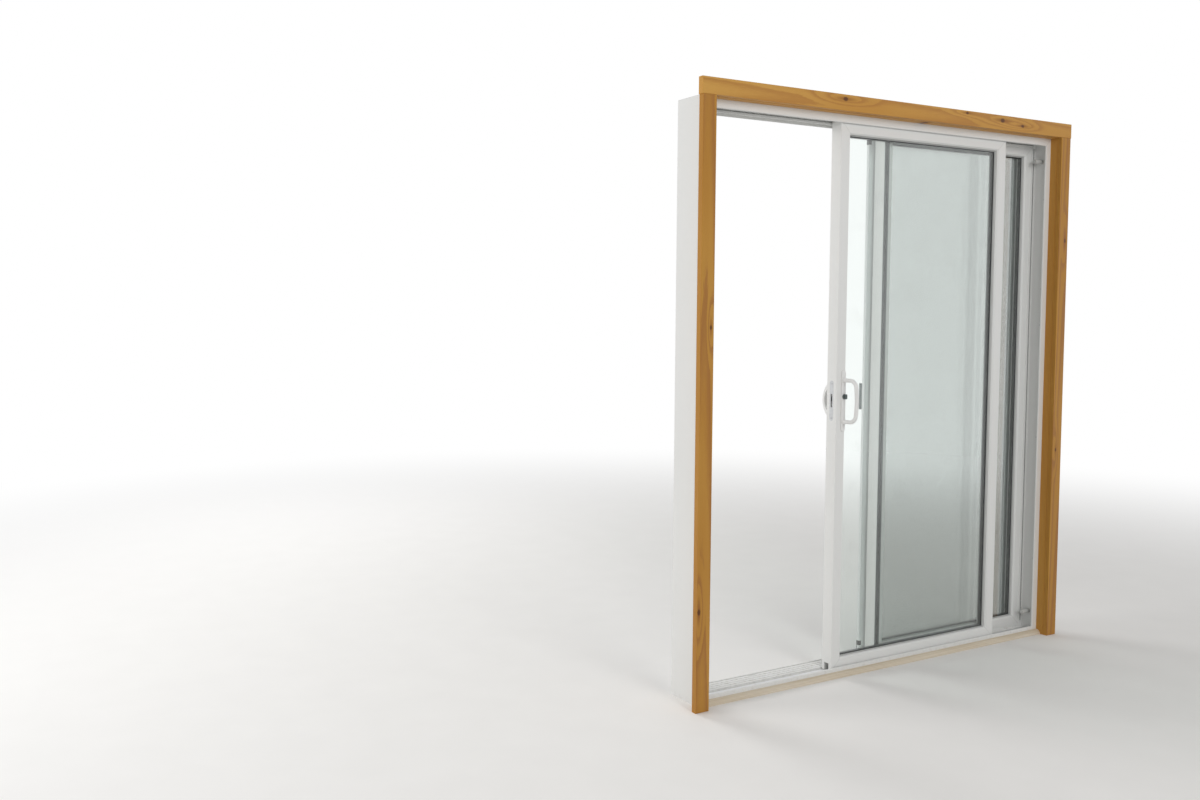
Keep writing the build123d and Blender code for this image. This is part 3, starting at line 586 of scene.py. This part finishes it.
places = [(-0.240, -62 * mm, z) for z in (0.918, 1.102)]
screws("pull_screws", moulded, "slider", 3.2 * mm, (0, -1, 0), places)
leaf_middle = -34.5 * mm
for name, body, radius, facing, x, heights in (
    ("faceplate_screws", "slider", 3.4 * mm, -1, -0.272, (0.948, 1.072)),
    ("keeper_screws", "frame", 3.6 * mm, 1, -0.882, (0.965, 1.055)),
    ("bumper_screws", "frame", 3.0 * mm, -1, 0.8388, (87 * mm, 1.943)),
):
    places = [(x, leaf_middle, z) for z in heights]
    screws(name, steel, body, radius, (facing, 0, 0), places)
screw_line = -49 * mm
jamb_heights = (0.31, 0.816, 1.279, 1.427, 1.79)
for side, x, facing in (("left", -0.885, 1), ("right", 0.885, -1)):
    name = side + "_jamb_screws"
    places = [(x, screw_line, z) for z in jamb_heights]
    screws(name, steel, "frame", 4.2 * mm, (facing, 0, 0), places)
places = [(x, screw_line, 2.025) for x in (-0.62, -0.21, 0.21, 0.62)]
screws("head_screws", steel, "frame", 4.2 * mm, (0, 0, -1), places)

# The lock's hook, a steel stamping, lies drawn back in its faceplate's slot, painted near black
# as shade in the slot. It is blanked from 4 mm sheet, and its edges are tumbled soft.
hook_shade_steel = Finish("hook_shade_steel")
hook_speckle = hook_shade_steel.place.noise(260, 4)
# Painted shade: the hook's near-black colour stands for the shade in the slot.
hook_shade_steel.set(Base_Color=hook_speckle.blend((0.035, 0.037, 0.040, 1), (0.075, 0.078, 0.082, 1)))
hook_shade_steel.set(Metallic=0.8, Roughness=0.38 + 0.2 * hook_speckle)
hook_shade_steel.bump(hook_speckle, 0.15, 0.1 * mm)
hook_outline = [
    (-254, 990), (-262, 990), (-265, 994), (-265, 1013), (-268, 1013), (-268, 1008),
    (-270.5, 1009), (-271, 1021), (-268, 1026), (-261, 1029), (-254, 1029),
]
hook_thickness = 4 * mm
hook_front = leaf_middle - hook_thickness / 2
hook_shape = bmesh.new()
hook_rim = [hook_shape.verts.new((x * mm, hook_front, z * mm)) for x, z in hook_outline]
hook_face = hook_shape.faces.new(hook_rim)
hook_grown = bmesh.ops.extrude_face_region(hook_shape, geom=[hook_face])["geom"]
hook_verts = [part for part in hook_grown if isinstance(part, bmesh.types.BMVert)]
bmesh.ops.translate(hook_shape, verts=hook_verts, vec=(0, hook_thickness, 0))
bmesh.ops.recalc_face_normals(hook_shape, faces=hook_shape.faces)
bmesh.ops.bevel(
    hook_shape,
    geom=hook_shape.edges[:],
    offset=0.4 * mm,
    segments=2,
    profile=0.5,
    affect="EDGES",
    material=-1,
)
piece("lock_hook", hook_shape, hook_shade_steel, "slider")

# The two stops on the right jamb are bumpers of soft grey rubber, each moulded in one piece
# and held by a screw.
rubber = Finish("bumper_rubber")
rubber_grain = rubber.place.noise(700, 3)
rubber.set(Base_Color=rubber_grain.blend((0.47, 0.47, 0.45, 1), (0.56, 0.56, 0.54, 1)))
rubber.set(Roughness=0.62 + 0.15 * rubber_grain)
rubber.bump(rubber_grain, 0.2, 0.2 * mm)
dress(("stop_bumpers",), rubber)

# The screen's bars are roll-formed aluminium with baked white paint. Black plastic keys,
# pushed into their ends, join them at the corners.
paint = Finish("screen_paint")
paint_peel = paint.place.noise(420, 2)
paint.set(Base_Color=paint.place.noise(3, 2).blend((0.70, 0.715, 0.715, 1), (0.75, 0.765, 0.765, 1)))
paint.set(Roughness=0.34 + 0.08 * paint_peel)
paint.bump(paint_peel, 0.08, 0.1 * mm)
dress(("screen_pull_stile", "screen_far_stile", "screen_top_rail", "screen_bottom_rail"), paint)

key_black = Finish("corner_black")
key_grain = key_black.place.noise(650, 3)
key_black.set(Base_Color=key_grain.blend((0.025, 0.025, 0.026, 1), (0.05, 0.05, 0.05, 1)))
key_black.set(Roughness=0.45 + 0.15 * key_grain)
key_black.bump(key_grain, 0.15, 0.15 * mm)
dress(("screen_corners",), key_black)

# The screen's handle and the thumb latch are moulded in dark grey plastic, finely grained.
# Two small screws hold the handle on the screen's pull stile.
grip_grey = Finish("handle_grey")
grip_grain = grip_grey.place.noise(520, 3)
grip_grey.set(Base_Color=grip_grain.blend((0.075, 0.095, 0.095, 1), (0.12, 0.145, 0.145, 1)))
grip_grey.set(Roughness=0.42 + 0.12 * grip_grain)
grip_grey.bump(grip_grain, 0.15, 0.15 * mm)
dress(("screen_handle", "thumb_latch"), grip_grey)
places = [(-1 * mm, 64 * mm, z) for z in (0.968, 1.052)]
screws("screen_handle_screws", steel, "screen", 2.6 * mm, (0, 1, 0), places)

# A soft black strip is rolled into the bars' groove all round and grips the mesh. It stands
# a little proud of the bars.
screen_outline = (-0.014, 0.858, 0.015, 2.010)
screen_face = 61 * mm
spline_section = [
    (23, -1.5), (23, 0.1), (23.6, 0.7), (24.5, 1.0),
    (25.5, 1.0), (26.4, 0.7), (27, 0.1), (27, -1.5),
]
spline_shape = bmesh.new()
ring(spline_shape, screen_outline, [(a * mm, screen_face + b * mm) for a, b in spline_section])
piece("screen_spline", spline_shape, key_black, "screen", smooth=True)

# The insect mesh is woven of charcoal glass threads in a vinyl coat, fused where they
# cross. The upright threads lie on the indoor side of the level ones.
thread = Finish("mesh_charcoal")
thread_speck = thread.place.noise(500, 2)
thread.set(Base_Color=thread_speck.blend((0.05, 0.055, 0.055, 1), (0.09, 0.095, 0.095, 1)))
thread.set(Roughness=0.5 + 0.1 * thread_speck)
thread_width = 0.30 * mm
thread_radius = thread_width * 0.6
thread_pitch = 1.50 * mm
sheet_low, sheet_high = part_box("screen_mesh")
sheet_middle = (sheet_low + sheet_high) / 2


def threads(name, along):
    """One thread, repeated side by side over the sheet."""
    span = sheet_high[along] - sheet_low[along]
    across = 2 - along
    turn = Matrix.Rotation(math.radians(90), 4, "Y") if along == 0 else Matrix.Identity(4)
    centre = sheet_middle.copy()
    centre[across] = sheet_low[across] + thread_pitch / 2
    centre.y += (0.35 if along == 0 else -0.35) * thread_width
    shape = bmesh.new()
    bmesh.ops.create_cone(
        shape,
        cap_ends=True,
        segments=4,
        radius1=thread_radius,
        radius2=thread_radius,
        depth=span,
        matrix=Matrix.Translation(centre) @ turn,
    )
    made = piece(name, shape, thread, "screen")
    rows = made.modifiers.new("rows", "ARRAY")
    rows.count = int((sheet_high[across] - sheet_low[across]) / thread_pitch)
    rows.use_relative_offset = False
    rows.use_constant_offset = True
    step = Vector()
    step[across] = thread_pitch
    rows.constant_offset_displace = step
    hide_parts("screen_mesh")


threads("mesh_upright_threads", 2)
threads("mesh_level_threads", 0)
